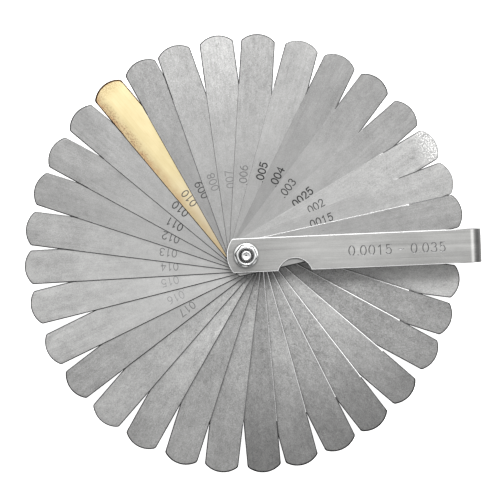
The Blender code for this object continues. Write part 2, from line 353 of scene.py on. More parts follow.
def holder_steel():
    """Steel brushed along X."""
    mat, net = material("holder_brushed_steel")
    long_grain = net.noise(scale=(20.0, 2600.0, 2600.0), detail=3.0, rough=0.65)
    band = net.noise(scale=(9.0, 420.0, 420.0), shift=(3.0, 1.0, 2.0))
    cloud = net.noise(scale=(50.0, 150.0, 150.0), detail=3.0, rough=0.6)
    grain = net.noise(scale=(2200.0, 3000.0, 3000.0))
    level = net.vary((long_grain, 0.55), (band, 0.55), (cloud, 0.50), (grain, 0.30), base=1.0)
    marks = net.hairlines((5, 0.03, 0.66), (9, -0.05, 0.66), (14, 0.7, 0.70))
    level = net.add(level, net.mul(marks, 0.16))
    x, _, _ = net.position()
    # handled most in the middle, where it has worn brighter
    bright_band = net.mul(net.ramp(x, span=(0.006, 0.030)), net.ramp(x, span=(0.060, 0.038)))
    level = net.add(level, net.mul(bright_band, 0.20))
    # a painted highlight as a line at the start of the bend, and painted shade over the outside of it
    end = HOLDER_HI.x
    line = net.mul(
        net.ramp(x, span=(end - 0.0048, end - 0.0040)),
        net.ramp(x, span=(end - 0.0030, end - 0.0037)),
    )
    bend_shade = net.ramp(x, span=(end - 0.0036, end - 0.0022))
    level = net.add(level, net.mul(line, 0.75))
    level = net.dim(level, net.mul(bend_shade, 0.72))
    # painted shade: darker close beside taller parts, as round the nut's foot and in the rolled figures
    shelter = net.ramp(net.exposure(distance=0.0009), span=(0.92, 0.45), smooth=False)
    level = net.dim(level, net.mul(shelter, 0.80))
    colour = net.scaled((0.375, 0.374, 0.366), level)
    height = net.vary((long_grain, 1.0), (grain, 0.3))
    net.metal(
        colour=colour, roughness=net.vary((cloud, 0.10), base=0.30), metallic=0.85,
        height=height, bump=0.22, depth=3e-5,
    )
    return mat


def groove():
    """The rolled figures: painted shade on the walls turned away from +Y and +X, and painted highlight on the
    walls facing +Y and +X.
    """
    mat, net = material("holder_groove")
    fine = net.noise(scale=(2500.0, 2500.0, 2500.0))
    patch = net.noise(scale=(260.0, 260.0, 260.0), shift=(3.0, 8.0, 1.0))
    normal_x, normal_y, _ = net.normal()
    # painted highlight on walls facing +Y and +X, painted shade on the rest
    light_facing = net.add(net.mul(normal_y, 0.85), net.mul(normal_x, 0.50))
    level = net.ramp(light_facing, span=(0.08, 0.36), to=(0.10, 0.62))
    level = net.mul(level, net.vary((fine, 0.5), (patch, 0.8), base=1.0))
    net.metal(colour=net.grey(level), roughness=0.42, metallic=0.9, height=fine)
    return mat


def holder_rim():
    """The rounded edges of the holder: painted bright as highlight lines, and painted dark as shade round the
    folded end.
    """
    mat, net = material("holder_edge")
    fine = net.noise(scale=(900.0, 4000.0, 4000.0))
    wear = net.noise(scale=(120.0, 120.0, 120.0), detail=3.0, rough=0.6)
    x, _, _ = net.position()
    end = HOLDER_HI.x
    level = net.ramp(x, span=(end - 0.012, end - 0.006), to=(0.86, 0.16))
    level = net.mul(level, net.vary((fine, 0.25), (wear, 0.25), base=1.0))
    net.metal(colour=net.grey(level), roughness=0.36, metallic=0.20, height=fine)
    return mat


def zinc():
    """Bright plating, with painted shade deep in the corners."""
    mat, net = material("bright_zinc")
    tone = 0.88
    pits = net.noise(scale=(1400.0, 1400.0, 1400.0), detail=3.0, rough=0.6)
    cloud = net.noise(scale=(320.0, 320.0, 320.0))
    colour = net.mix(
        net.ramp(cloud, span=(0.3, 0.7)),
        (tone, tone * 1.005, tone * 1.01),
        (tone * 0.85, tone * 0.86, tone * 0.85),
    )
    # painted shade: near black deep in corners
    open_air = net.exposure(distance=0.0005, only_local=True)
    corner = net.ramp(open_air, span=(0.35, 0.88), to=(0.9, 0.0))
    colour = net.mix(corner, colour, (0.02, 0.02, 0.02))
    net.metal(
        colour=colour, roughness=net.vary((cloud, 0.08), base=0.12), metallic=0.72,
        height=pits, bump=0.16, depth=4e-5,
    )
    return mat


def etched(name, tone, rough, metallic):
    """Etched figure: metal bitten dark."""
    mat, net = material(name)
    fine = net.noise(scale=(3500.0, 3500.0, 0.0))
    level = net.vary((fine, tone * 0.5), base=tone)
    net.metal(colour=net.grey(level), roughness=rough, metallic=metallic)
    return mat


# ------------------------------------------------------------------ geometry helpers


def arc(cx, cy, radius, start, end, steps):
    angles = [start + (end - start) * i / steps for i in range(steps + 1)]
    return [(cx + radius * math.cos(a), cy + radius * math.sin(a)) for a in angles]


def circle(cx, cy, radius, steps):
    return arc(cx, cy, radius, 0, 2 * math.pi, steps)[:-1]


def pairs(loop):
    """Each item of a closed loop with the next."""
    return list(zip(loop, loop[1:] + loop[:1]))


def wall(shape, first, second):
    """Quads between two closed loops of vertices."""
    for (a, b), (c, d) in zip(pairs(first), pairs(second)):
        shape.faces.new((a, b, d, c))


def make_object(name, shape, mats, where=looks):
    mesh = bpy.data.meshes.new(name)
    shape.to_mesh(mesh)
    shape.free()
    obj = bpy.data.objects.new(name, mesh)
    for mat in mats:
        mesh.materials.append(mat)
    where.objects.link(obj)
    return obj


def weighted_normals(obj):
    obj.data.shade_smooth()
    mod = obj.modifiers.new("even_shading", "WEIGHTED_NORMAL")
    mod.keep_sharp = False
    mod.weight = 80


def apply_modifiers(obj):
    bpy.context.view_layer.update()
    graph = bpy.context.evaluated_depsgraph_get()
    mesh = bpy.data.meshes.new_from_object(obj.evaluated_get(graph))
    old = obj.data
    obj.modifiers.clear()
    obj.data = mesh
    bpy.data.meshes.remove(old)


# ------------------------------------------------------------------ leaf shape

WIDTH = 12.7 * MM
REACH = 82.55 * MM  # from the pivot to the tip
HEEL = 6.35 * MM  # from the pivot to the other end
END_R = 9.0 * MM
TIP_CORNER = 1.3 * MM
HEEL_CORNER = 0.4 * MM
HOLE_R = 3.1 * MM
BARE = 21 * MM  # length at the tip where the +Y edge has no ground chamfer
BARE_FADE = 2.4 * MM
GROUND = REACH + HEEL - 24 * MM  # the rest of the long edge, ending 3 mm short of the heel
GROUND_STEPS = 8
THIN = 0.11 * MM  # leaves thinner than this keep the face finish on the ground chamfer
# leaves set off the pivot: (along, across)
SHIFT = {"035": (-0.10 * MM, -1.00 * MM)}

# how the long edge is broken: (below this rest angle, greatest width in mm, greatest drop in mm)
SIDE_BREAKS = [
    (100.0, 0.22, 0.11),
    (245.0, 0.34, 0.47),
    (290.0, 0.22, 0.11),
    (320.0, 0.25, 0.125),
    (360.0, 0.28, 0.10),
]

# a flat chamfer, eased at both ends: (share of the width still inset, share of the drop)
CHAMFER = [(1.0, 0.0), (0.86, 0.06), (0.30, 0.62), (0.06, 0.92), (0.0, 1.18)]

# kinds of edge, and material slots; the dark kind takes near-black steel, painted shade along the edges where the
# leaves part and round the heel
GROUND_EDGE, DARK_EDGE, TIP_ROUND = 0, 1, 2
FACE_SLOT, EDGE_SLOT, DARK_SLOT, TIP_SLOT = 0, 1, 2, 3


def rounded_end(reach, corner_r, arc_steps, corner_steps):
    """The +X end of a strip from its -Y to its +Y side, as (x, y, normal x, normal y)."""
    centre = reach - END_R
    corner_y = WIDTH / 2 - corner_r
    corner_x = centre + math.sqrt((END_R - corner_r) ** 2 - corner_y**2)
    lean = math.atan2(corner_y, corner_x - centre)
    out = []
    for cx, cy, radius, start, end, steps in (
        (corner_x, -corner_y, corner_r, -math.pi / 2, -lean, corner_steps),
        (centre, 0.0, END_R, -lean, lean, arc_steps),
        (corner_x, corner_y, corner_r, lean, math.pi / 2, corner_steps),
    ):
        for i in range(steps + 1):
            angle = start + (end - start) * i / steps
            nx, ny = math.cos(angle), math.sin(angle)
            x, y = cx + radius * nx, cy + radius * ny
            # where two arcs meet, their common point is kept once
            if not out or math.hypot(x - out[-1][0], y - out[-1][1]) > 1e-8:
                out.append((x, y, nx, ny))
    return out


def leaf_outline(thick, turn, tip_rim):
    """Anticlockwise points (x, y, normal x, normal y, chamfer width, chamfer drop, kind)."""
    rim = 0.38 * MM
    rim_drop = min(0.45 * thick, 0.15 * MM)
    side = min(0.34 * MM, max(0.035 * MM, 0.9 * thick))
    side_drop = 0.47 * thick
    for limit, width, drop in SIDE_BREAKS:
        if turn < limit:
            side = min(side, width * MM)
            side_drop = min(side_drop, drop * MM)
            break
    tip = [
        (*point, tip_rim, rim_drop, TIP_ROUND)
        for point in rounded_end(REACH, TIP_CORNER, arc_steps=36, corner_steps=6)
    ]
    heel = [
        (-x, -y, -nx, -ny, 0.6 * rim, rim_drop, DARK_EDGE)
        for x, y, nx, ny in rounded_end(HEEL, HEEL_CORNER, arc_steps=22, corner_steps=4)
    ]
    stations = [REACH - 4 * MM, REACH - 8 * MM, REACH - 13 * MM, REACH - 19 * MM, REACH - BARE]
    stations += [REACH - BARE - GROUND * k / GROUND_STEPS for k in range(1, GROUND_STEPS + 1)]
    upper, lower = [], []  # the +Y and -Y sides
    for x in stations:
        # the bare end of the +Y side and all the -Y side take the dark kind: painted shade
        bare = min(1.0, max(0.0, (x - (REACH - BARE)) / BARE_FADE))
        upper.append((
            x, WIDTH / 2, 0.0, 1.0,
            side + (rim - side) * bare,
            side_drop + (rim_drop - side_drop) * bare,
            DARK_EDGE if bare > 0.5 else GROUND_EDGE,
        ))
        lower.append((x, -WIDTH / 2, 0.0, -1.0, rim, rim_drop, DARK_EDGE))
    return tip + upper + heel + lower[::-1]


def build_leaf(node, key, turn, mats, tip_rim):
    """Returns the leaf, its thickness and its middle height."""
    lo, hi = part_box(node)
    thick = hi.z - lo.z
    middle = (hi.z + lo.z) / 2
    along, across = SHIFT.get(key, (0.0, 0.0))
    outline = leaf_outline(thick, turn, tip_rim)
    shape = bmesh.new()

    # rings from the top face round the edge to the bottom face
    rings = [(inset, drop, 1.0) for inset, drop in CHAMFER]
    rings += [(inset, drop, -1.0) for inset, drop in reversed(CHAMFER)]
    loops = []
    for inset, drop, up in rings:
        ring = []
        for x, y, nx, ny, rim, rim_drop, _ in outline:
            z = up * (thick / 2 - min(rim_drop * drop, 0.49 * thick))
            place = (x - nx * inset * rim + along, y - ny * inset * rim + across, z)
            ring.append(shape.verts.new(place))
        loops.append(ring)
    # material slot by kind of edge
    chamfer_slots = (FACE_SLOT if thick < THIN else EDGE_SLOT, DARK_SLOT, TIP_SLOT)
    for k, (above, below) in enumerate(zip(loops, loops[1:])):
        for i in range(len(outline)):
            j = (i + 1) % len(outline)
            face = shape.faces.new((above[i], below[i], below[j], above[j]))
            kind = min(outline[i][6], outline[j][6])
            face.material_index = EDGE_SLOT if k == len(CHAMFER) - 1 else chamfer_slots[kind]

    holes = [
        [shape.verts.new((x, y, z)) for x, y in circle(along, across, HOLE_R, 40)]
        for z in (thick / 2, -thick / 2)
    ]
    for (a, b), (c, d) in zip(pairs(holes[0]), pairs(holes[1])):
        shape.faces.new((b, d, c, a)).material_index = EDGE_SLOT
    for loop, hole in zip((loops[0], loops[-1]), holes):
        edges = [shape.edges.get(ends) for ring in (loop, hole) for ends in pairs(ring)]
        filled = bmesh.ops.triangle_fill(
            shape, use_beauty=True, use_dissolve=False, edges=edges
        )
        for item in filled["geom"]:
            if isinstance(item, bmesh.types.BMFace):
                item.material_index = FACE_SLOT
    bmesh.ops.recalc_face_normals(shape, faces=shape.faces)
    leaf = make_object("leaf_face_" + key, shape, mats)
    weighted_normals(leaf)
    leaf.location = (0.0, 0.0, middle)
    leaf.rotation_euler = (0.0, 0.0, math.radians(turn))
    return leaf, thick, middle


# ------------------------------------------------------------------ figures


def oval(cx, cy, rx, ry, start, end, steps):
    """Points of an elliptical arc; angles in degrees."""
    angles = [math.radians(start + (end - start) * i / steps) for i in range(steps + 1)]
    return [(cx + rx * math.cos(a), cy + ry * math.sin(a)) for a in angles]


# single-stroke figures on a cell 0.62 wide and 1 high: lists of (points, closed)
CELL = 0.62
GLYPHS = {
    "0": [(oval(0.31, 0.5, 0.30, 0.5, 0, 360, 32)[:-1], True)],
    "1": [([(0.14, 0.80), (0.34, 1.0), (0.34, 0.0)], False)],
    "2": [(oval(0.31, 0.71, 0.28, 0.29, 170, -35, 18) + [(0.03, 0.0), (0.60, 0.0)], False)],
    "3": [(
        oval(0.29, 0.76, 0.25, 0.24, 155, -80, 16)
        + oval(0.29, 0.27, 0.30, 0.27, 75, -155, 18), False,
    )],
    "4": [([(0.46, 0.0), (0.46, 1.0), (0.01, 0.30), (0.62, 0.30)], False)],
    "5": [(
        [(0.57, 1.0), (0.13, 1.0), (0.08, 0.54)]
        + oval(0.30, 0.33, 0.29, 0.33, 130, -150, 20), False,
    )],
    "6": [
        (oval(0.31, 0.31, 0.29, 0.31, 0, 360, 28)[:-1], True),
        ([(0.022, 0.34), (0.05, 0.55), (0.16, 0.80), (0.34, 0.96), (0.50, 1.0)], False),
    ],
    "7": [([(0.02, 1.0), (0.60, 1.0), (0.42, 0.55), (0.26, 0.0)], False)],
    "8": [
        (oval(0.31, 0.76, 0.24, 0.24, -90, 270, 24)[:-1], True),
        (oval(0.31, 0.26, 0.30, 0.26, 90, 450, 26)[:-1], True),
    ],
    "9": [
        (oval(0.31, 0.69, 0.29, 0.31, 0, 360, 28)[:-1], True),
        ([(0.598, 0.66), (0.57, 0.45), (0.46, 0.20), (0.28, 0.04), (0.12, 0.0)], False),
    ],
    ".": [([(0.04, 0.03), (0.12, 0.03)], False)],
    "-": [([(0.06, 0.46), (0.52, 0.46)], False)],
}


def advance(char):
    """From the start of one cell to the start of the next."""
    return {".": 0.32, " ": 0.45, "-": 0.80}.get(char, 0.84)


def stroke_borders(points, closed, half):
    """Left and right borders of a stroke, mitred, and the round ends of an open one."""
    count = len(points)
    left, right = [], []
    for i, (x, y) in enumerate(points):
        if closed:
            before, after = points[i - 1], points[(i + 1) % count]
        else:
            before, after = points[max(i - 1, 0)], points[min(i + 1, count - 1)]
        in_x, in_y = x - before[0], y - before[1]
        out_x, out_y = after[0] - x, after[1] - y
        in_len, out_len = math.hypot(in_x, in_y), math.hypot(out_x, out_y)
        # an open end has a segment on one side only
        if in_len < 1e-12:
            in_x, in_y, in_len = out_x, out_y, out_len
        if out_len < 1e-12:
            out_x, out_y, out_len = in_x, in_y, in_len
        mid_x, mid_y = in_x / in_len + out_x / out_len, in_y / in_len + out_y / out_len
        mid_len = math.hypot(mid_x, mid_y)
        mid_x, mid_y = mid_x / mid_len, mid_y / mid_len
        # the lower limit keeps sharp mitres short
        cosine = max(0.55, (in_x / in_len) * mid_x + (in_y / in_len) * mid_y)
        offset = half / cosine
        left.append((x - mid_y * offset, y + mid_x * offset))
        right.append((x + mid_y * offset, y - mid_x * offset))
    if closed:
        return left, right, [], []
    caps = []
    for (x, y), (inner_x, inner_y) in ((points[0], points[1]), (points[-1], points[-2])):
        outward = math.atan2(y - inner_y, x - inner_x)
        start = outward - math.pi / 2
        steps = 6
        caps.append([
            (x + half * math.cos(start + math.pi * i / steps),
             y + half * math.sin(start + math.pi * i / steps))
            for i in range(1, steps)
        ])
    return left, right, caps[0], caps[1]


def stroke_solid(shape, points, closed, half, z_top, z_bottom, shrink):
    """A closed strip along a stroke. Shrink narrows its underside, for a V-shaped groove."""
    layers = [
        [
            [shape.verts.new((x, y, z)) for x, y in border]
            for border in stroke_borders(points, closed, width)
        ]
        for z, width in ((z_top, half), (z_bottom, half * shrink))
    ]
    count = len(points)
    for (left, right, start_cap, end_cap), order in zip(layers, (1, -1)):
        for i in range(count if closed else count - 1):
            j = (i + 1) % count
            shape.faces.new((left[i], right[i], right[j], left[j])[::order])
        if not closed:
            shape.faces.new(([right[0], left[0]] + start_cap)[::order])
            shape.faces.new(([left[-1], right[-1]] + end_cap)[::order])
    if closed:
        for side in (0, 1):
            wall(shape, layers[0][side], layers[1][side])
    else:
        wall(shape, *[
            left[::-1] + start_cap + right + end_cap
            for left, right, start_cap, end_cap in layers
        ])


def figures(text, height, half, z_top, z_bottom, base, step,
            right_end=None, left_end=None, shrink=1.0, spread=1.0):
    """Solids for a line of figures, reading along +X from left_end, or up to right_end. Each
    stroke is made deeper than the last by the step, so that no two ends share a plane."""
    if right_end is None:
        x = left_end
    else:
        width = spread * (sum(advance(c) for c in text) - advance(text[-1])) + CELL
        x = right_end - width * height
    shape = bmesh.new()
    k = 0
    for char in text:
        for points, closed in GLYPHS.get(char, []):
            moved = [(x + px * height, base + py * height) for px, py in points]
            stroke_solid(
                shape, moved, closed, half, z_top + step * k, z_bottom - step * k, shrink
            )
            k += 1
        x += spread * advance(char) * height
    bmesh.ops.recalc_face_normals(shape, faces=shape.faces)
    return shape


# ------------------------------------------------------------------ leaves

# Each steel leaf: tone near the pivot and at the tip, which partly paints the light and shade along it, mottle,
# scratches
LEAF_LOOK = {
    "0015": (0.29, 0.31, 0.15, 0.0), "002": (0.31, 0.32, 0.20, 0.0),
    "0025": (0.26, 0.21, 0.15, 0.0), "003": (0.25, 0.19, 0.12, 0.0),
    "004": (0.21, 0.18, 0.10, 0.0), "005": (0.26, 0.24, 0.15, 0.0),
    "006": (0.26, 0.23, 0.29, 0.0), "007": (0.26, 0.31, 0.29, 0.0),
    "008": (0.26, 0.26, 0.29, 0.0), "009": (0.22, 0.22, 0.29, 0.0),
    "010_steel": (0.28, 0.24, 0.12, 0.0), "011": (0.28, 0.24, 0.12, 0.0),
    "012": (0.29, 0.23, 0.12, 0.0), "013": (0.33, 0.29, 0.12, 0.0),
    "014": (0.35, 0.33, 0.10, 0.0), "015": (0.39, 0.36, 0.12, 0.0),
    "016": (0.38, 0.36, 0.15, 0.0), "017": (0.32, 0.27, 0.25, 0.1),
    "018": (0.33, 0.32, 0.40, 0.4), "019": (0.37, 0.27, 0.45, 0.5),
    "020": (0.27, 0.28, 0.45, 0.5), "021": (0.29, 0.25, 0.50, 0.6),
    "022": (0.25, 0.15, 0.55, 0.8), "023": (0.31, 0.18, 0.50, 0.7),
    "024": (0.30, 0.17, 0.55, 0.8), "025": (0.32, 0.16, 0.60, 0.8),
    "026": (0.36, 0.20, 0.50, 0.7), "028": (0.28, 0.24, 0.65, 0.9),
    "030": (0.31, 0.24, 0.60, 0.8), "032": (0.33, 0.42, 0.45, 0.6),
    "035": (0.25, 0.24, 0.15, 0.0),
}
# Each etched figure: how far it has worn away (0 black, 1 gone), and in mm its outer end along
# the leaf and its baseline across it
MARKS = {
    "0015": (0.08, 35.3, 0.6), "002": (0.20, 35.0, 0.8), "0025": (0.02, 34.5, 0.8),
    "003": (0.08, 33.0, 1.3), "004": (0.0, 35.0, 1.0), "005": (0.0, 35.0, 1.0),
    "006": (0.45, 33.3, 1.2), "007": (0.60, 32.0, 0.7), "008": (0.55, 33.0, 1.0),
    "009": (0.20, 32.5, 1.0), "010_brass": (0.15, 33.0, 1.2), "010_steel": (0.04, 33.0, 1.0),
    "011": (0.08, 32.0, 1.2), "012": (0.30, 31.8, 1.0), "013": (0.45, 32.0, 1.3),
    "014": (0.50, 31.8, 1.4), "015": (0.65, 33.0, 1.3), "016": (0.68, 33.6, 1.4),
    "017": (0.45, 32.8, 1.4),
}
OTHER_MARK = (0.975, 33.0, 1.2)

# copies of the edge steel from bright to near black: painted highlight lines on the ground chamfers, brightest and
# partly diffuse for the leaves lying in the holder's shadow, and painted shade as dark lines on the parted edges,
# round the tips and round the brass leaf
long_edge = edge_steel("leaf_long_edge", tone=0.44, rough=0.26)
low_edge = edge_steel("leaf_low_edge", tone=0.58, rough=0.26)
shaded_edge = edge_steel("leaf_shaded_edge", tone=0.84, rough=0.30, metallic=0.40)
front_edge = edge_steel("leaf_front_edge", tone=0.32, rough=0.30)
tip_edge = edge_steel("leaf_tip_edge", tone=0.07, rough=0.42)
mid_rim = edge_steel("leaf_mid_rim", tone=0.042, rough=0.43)
dark_rim = edge_steel("leaf_dark_rim", tone=0.018, rough=0.45)
pale_rim = edge_steel("leaf_pale_rim", tone=0.17, rough=0.40)
brass_edge = edge_steel("brass_edge", tone=0.024, rough=0.45, tint=(1.5, 0.85, 0.45))


def tip_finish(key, turn):
    """Width of the line round the tip, and its material, which paints a dark outline as shade, paler on the two
    thinnest leaves.
    """
    if key in ("0015", "002"):
        return 0.30 * MM, pale_rim
    if key == "010_brass":
        return 0.68 * MM, brass_edge
    if key in ("0025", "004", "005", "018", "035") or 145.0 < turn < 212.0:
        return 0.39 * MM, tip_edge
    if turn < 245.0:
        return 0.45 * MM, mid_rim
    return (0.40 if turn > 325.0 else 0.51) * MM, dark_rim


def leaf_materials(key, index, turn, tip_mat):
    """Face, edge, dark edge and tip rim, in slot order."""
    if key == "010_brass":
        return [brass(), brass_edge, brass_edge, tip_mat]
    tone, tip_tone, mottle, scratch = LEAF_LOOK[key]
    face = leaf_steel(
        "steel_blade_" + key, seed=3.7 * index + 1.0,
        tone=tone, tip_tone=tip_tone, mottle=mottle, scratch=scratch,
        # painted glints at the tip of the .002
        sparkle=0.55 if key == "002" else 0.0,
        # painted shade on the upper faces of the leaves turned past 225 degrees
        painted_shade=0.88 if turn > 225.0 else 0.0,
    )
    # the edge tone is picked by where the leaf lies to the light: painted highlight lines
    if key == "035":
        edge = front_edge
    elif turn > 302.0:
        edge = shaded_edge
    else:
        edge = low_edge if turn > 225.0 else long_edge
    return [face, edge, tip_edge, tip_mat]


def build_mark(key, thick):
    """The leaf's thickness in inches, etched on its top face."""
    wear, end, base = MARKS.get(key, OTHER_MARK)
    tone = 0.05 if key == "010_brass" else 0.006 + LEAF_LOOK[key][0] * wear**1.3
    mat = etched(
        "etch_blade_" + key, tone=tone, rough=0.75 - 0.31 * wear, metallic=0.05 + 0.57 * wear
    )
    # fresher figures have bolder strokes
    half_stroke = 0.235 if wear < 0.03 else (0.19 if wear < 0.4 else 0.165)
    shape = figures(
        "." + key.split("_")[0], height=2.75 * MM, half=half_stroke * MM,
        z_top=0.004 * MM, z_bottom=-0.003 * MM,
        right_end=end * MM, base=base * MM, step=0.0003 * MM,
    )
    for vert in shape.verts:
        vert.co.z += thick / 2
    return make_object("figures_" + key, shape, [mat])


leaf_nodes = sorted(node for node in frame["nodes"] if node.startswith("blade_"))
for index, node in enumerate(leaf_nodes):
    key = node.removeprefix("blade_")
    body = BODY_OF[node]
    turn = REST_TURN[body]
    tip_rim, tip_mat = tip_finish(key, turn)
    mats = leaf_materials(key, index, turn, tip_mat)
    leaf, thick, middle = build_leaf(node, key, turn, mats, tip_rim)
    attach(leaf, body)
    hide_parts(node)

    mark = build_mark(key, thick)
    mark.location = (0.0, 0.0, middle)
    mark.rotation_euler = leaf.rotation_euler
    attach(mark, body)


# ------------------------------------------------------------------ holder

SHEET = 1.0 * MM
BEND_R = 4.2 * MM
BEND_STEPS = 28
HOLDER_HEEL = 7.1 * MM  # from the pivot to the -X end
HOLDER_HEEL_R = 10.0 * MM
NOTCH_R = 6.5 * MM
NOTCH_X, NOTCH_Y = 18.0 * MM, -8.2 * MM
HOLDER_HOLE_R = 2.15 * MM
CUT_MARGIN = 5 * MM  # how far the cutters stand past the holder


def cutter(name, outline):
    """An upright prism through the whole height of the holder."""
    shape = bmesh.new()
    low = [shape.verts.new((x, y, HOLDER_LO.z - CUT_MARGIN)) for x, y in outline]
    high = [shape.verts.new((x, y, HOLDER_HI.z + CUT_MARGIN)) for x, y in outline]
    shape.faces.new(low[::-1])
    shape.faces.new(high)
    wall(shape, low, high)
    bmesh.ops.recalc_face_normals(shape, faces=shape.faces)
    return make_object(name, shape, [], cutters)


def boolean(obj, other, operation, self_cut=False):
    mod = obj.modifiers.new(operation.lower(), "BOOLEAN")
    mod.operation = operation
    mod.solver = "EXACT"
    mod.use_self = self_cut
    mod.object = other
    apply_modifiers(obj)
    bpy.data.objects.remove(other, do_unlink=True)


def folded_sheet(half):
    """Two plates joined by a bend at +X: an XZ profile drawn from -Y to +Y."""
    z0, z1 = HOLDER_LO.z, HOLDER_HI.z
    left = HOLDER_LO.x - 2 * MM
    cx, low, high = HOLDER_HI.x - BEND_R, z0 + BEND_R, z1 - BEND_R
    inner_r = BEND_R - SHEET
    quarter = math.pi / 2
    outer = arc(cx, low, BEND_R, -quarter, 0.0, BEND_STEPS)
    outer += arc(cx, high, BEND_R, 0.0, quarter, BEND_STEPS)
    inner = arc(cx, high, inner_r, quarter, 0.0, BEND_STEPS)
    inner += arc(cx, low, inner_r, 0.0, -quarter, BEND_STEPS)
    profile = [(left, z0)] + outer + [(left, z1), (left, z1 - SHEET)]
    profile += inner + [(left, z0 + SHEET)]
    shape = bmesh.new()
    near = [shape.verts.new((x, -half, z)) for x, z in profile]
    far = [shape.verts.new((x, half, z)) for x, z in profile]
    shape.faces.new(near)
    shape.faces.new(far[::-1])
    wall(shape, near, far)
    bmesh.ops.recalc_face_normals(shape, faces=shape.faces)
    return make_object("holder_shell", shape, [])


def build_holder():
    half = (HOLDER_HI.y - HOLDER_LO.y) / 2
    obj = folded_sheet(half)

    # round the -X end, then cut the notch in the -Y side and the bolt hole
    reach, wide = HOLDER_HI.x + 5 * MM, half + 1 * MM
    lean = math.asin(wide / HOLDER_HEEL_R)
    heel = arc(
        HOLDER_HEEL_R - HOLDER_HEEL, 0.0, HOLDER_HEEL_R, math.pi - lean, math.pi + lean, 48
    )
    boolean(obj, cutter("trim", [(reach, -wide), (reach, wide)] + heel), "INTERSECT")
    boolean(obj, cutter("notch", circle(NOTCH_X, NOTCH_Y, NOTCH_R, 96)), "DIFFERENCE")
    boolean(obj, cutter("hole", circle(0, 0, HOLDER_HOLE_R, 48)), "DIFFERENCE")

    # the figures rolled into the top plate: the range that the leaves cover
    top = HOLDER_HI.z
    shape = figures(
        "0.0015 - 0.035", height=3.5 * MM, half=0.27 * MM,
        z_top=top + 0.04 * MM, z_bottom=top - 0.10 * MM,
        left_end=38.3 * MM, base=-1.75 * MM, shrink=0.12, step=0.001 * MM, spread=1.07,
    )
    for face in shape.faces:
        face.material_index = 2
    stamp = make_object("stamp", shape, [], cutters)

    bevel = obj.modifiers.new("edges", "BEVEL")
    bevel.width = 0.22 * MM
    bevel.segments = 3
    bevel.limit_method = "ANGLE"
    bevel.angle_limit = math.radians(40)
    bevel.harden_normals = False
    bevel.material = 1
    for make_material in (holder_steel, holder_rim, groove):
        obj.data.materials.append(make_material())
    apply_modifiers(obj)
    boolean(obj, stamp, "DIFFERENCE", self_cut=True)
    weighted_normals(obj)
    return obj


holder = build_holder()
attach(holder, "holder")
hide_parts("holder")


# ------------------------------------------------------------------ bolt and nut

BOLT_LO, BOLT_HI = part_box("pivot_bolt")
NUT_LO, NUT_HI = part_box("flange_nut")
ACROSS_FLATS = 7.0 * MM  # of both hexagons
FACE_R = 3.32 * MM  # where the chamfer of the hexagon's corners starts
CHAMFER_SLOPE = math.tan(math.radians(30))
NUT_TURN, BOLT_TURN = -9.5, 8.0  # angle of a hexagon corner, in degrees

NUT_BORE = 2.12 * MM
FLANGE_R = 4.55 * MM
FLANGE_ROUND = 0.26 * MM
FLANGE_SLOPE = math.tan(math.radians(11))
# threads in the mouth of the bore, in mm: (outside the bore radius, below the top)
NUT_MOUTH = [(0, 0.80), (0.20, 0.69), (0.04, 0.57), (0.22, 0.49), (0.26, 0.44)]
# the cone above them, in mm: (radius, below the top)
NUT_CONE = [(2.93, 0.13), (3.00, 0.03), (3.07, 0)]

BOLT_R = 2.0 * MM
BOLT_HEAD = 2.8 * MM
# the dished end with its punched centre, from the axis outwards, in mm: (radius, below the top)
BOLT_END = [
    (0, 0.72), (0.12, 0.70), (0.25, 0.52), (0.34, 0.42), (0.44, 0.39), (0.80, 0.27),
    (1.12, 0.12), (1.30, 0.03), (1.42, 0), (1.54, 0.02), (1.66, 0.12), (1.94, 0.52), (2.0, 0.62),
]
# turns of thread on the shank, in mm
THREAD_ROOT, THREAD_PITCH, THREAD_TURNS = 1.74, 0.70, 5

plating = zinc()
# darker copies of the plating that paint shade into the recesses of the nut and bolt
crevice = edge_steel("zinc_crevice", tone=0.03, rough=0.5)
punch = edge_steel("zinc_punch", tone=0.22, rough=0.4)
cone = edge_steel("zinc_cone", tone=0.46, rough=0.24)
thread = edge_steel("zinc_thread", tone=0.30, rough=0.36)


def hexagon(angle, turn):
    """Distance from the axis to the hexagon, and how far its chamfer has fallen there."""
    from_flat = (math.degrees(angle) - turn) % 60.0 - 30.0
    radius = ACROSS_FLATS / 2 / math.cos(math.radians(from_flat)) - 0.01 * MM
    return radius, (radius - FACE_R) * CHAMFER_SLOPE


def polar(name, profile_at, steps, turn, mats, slots, capped=False):
    """A round solid whose (radius, z) profile may change with the angle. The profile is a closed
    loop round a hole, or with capped runs from the axis to the axis. Slots give profile
    segments, counted without the points on the axis, their material; the rest have slot 0."""
    shape = bmesh.new()
    columns = []
    poles = None
    for i in range(steps):
        angle = math.radians(turn) + 2 * math.pi * i / steps
        profile = profile_at(angle)
        if capped:
            if poles is None:
                poles = [shape.verts.new((0.0, 0.0, profile[end][1])) for end in (0, -1)]
            profile = profile[1:-1]
        columns.append([
            shape.verts.new((r * math.cos(angle), r * math.sin(angle), z)) for r, z in profile
        ])
    count = len(columns[0])
    for a, b in pairs(columns):
        for k in range(count - 1 if capped else count):
            m = (k + 1) % count
            face = shape.faces.new((a[k], a[m], b[m], b[k]))
            face.material_index = slots.get(k, 0)
        if capped:
            shape.faces.new((poles[0], a[0], b[0]))
            shape.faces.new((a[-1], poles[1], b[-1]))
    bmesh.ops.recalc_face_normals(shape, faces=shape.faces)
    obj = make_object(name, shape, mats)
    weighted_normals(obj)
    return obj


